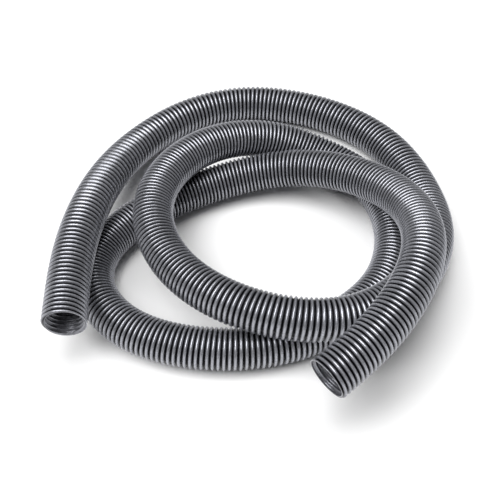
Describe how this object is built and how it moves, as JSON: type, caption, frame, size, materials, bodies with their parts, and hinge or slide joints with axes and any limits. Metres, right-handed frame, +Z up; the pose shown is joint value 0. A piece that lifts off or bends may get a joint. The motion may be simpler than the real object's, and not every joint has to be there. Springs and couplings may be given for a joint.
{
  "type": "vacuum hose",
  "caption": "Bare spiral-wound flexible vacuum hose with fine ribs and open square-cut ends, lying in a loose coil on a level surface.",
  "frame": {"origin": "on the surface that the hose lies on, at the centre of the coil's bounding box", "axes": "+Z up from the surface; +Y from the two cut ends towards the far side of the coil; +X from end A's side towards end B's hump"},
  "size_m": [0.3842, 0.4395, 0.1098],
  "materials": {
    "hose": "glossy silver-grey EVA plastic, wound and ribbed"
  },
  "bodies": {
    "coil": {"flex_a_swing": "hose", "outer_left": "hose", "outer_back": "hose", "outer_right": "hose", "outer_front": "hose", "middle_right": "hose", "middle_front": "hose", "middle_left": "hose", "middle_back": "hose", "inner_back": "hose", "inner_right": "hose", "inner_corner": "hose", "inner_front": "hose", "inner_left": "hose", "last_left": "hose", "last_back": "hose", "rise": "hose", "flex_b_swing": "hose"},
    "neck_a": {"neck_a": "hose", "flex_a_lift": "hose"},
    "tip_a": {"tail_a": "hose", "end_a": "hose"},
    "neck_b": {"neck_b": "hose", "flex_b_lift": "hose"},
    "tip_b": {"tail_b": "hose", "end_b": "hose"}
  },
  "joints": [
    {"name": "end_a_swing", "type": "hinge", "parent": "coil", "child": "neck_a", "pos_m": [-0.11258, 0.14883, 0.02283], "axis": [0, 0, 1], "range_deg": [-20, 0], "stiffness_Nm_per_rad": 0.6, "deforming": ["flex_a_swing"]},
    {"name": "end_a_lift", "type": "hinge", "parent": "neck_a", "child": "tip_a", "pos_m": [-0.16717, -0.00517, 0.05533], "axis": [-0.9935, 0.1138, 0], "range_deg": [0, 30], "stiffness_Nm_per_rad": 0.6, "deforming": ["flex_a_lift"]},
    {"name": "end_b_swing", "type": "hinge", "parent": "coil", "child": "neck_b", "pos_m": [0.09927, 0.04408, 0.0526], "axis": [0, 0, 1], "range_deg": [0, 20], "stiffness_Nm_per_rad": 0.6, "deforming": ["flex_b_swing"]},
    {"name": "end_b_lift", "type": "hinge", "parent": "neck_b", "child": "tip_b", "pos_m": [0.135, -0.10333, 0.09083], "axis": [-0.9333, 0.359, 0], "range_deg": [0, 25], "stiffness_Nm_per_rad": 0.6, "deforming": ["flex_b_lift"]}
  ]
}
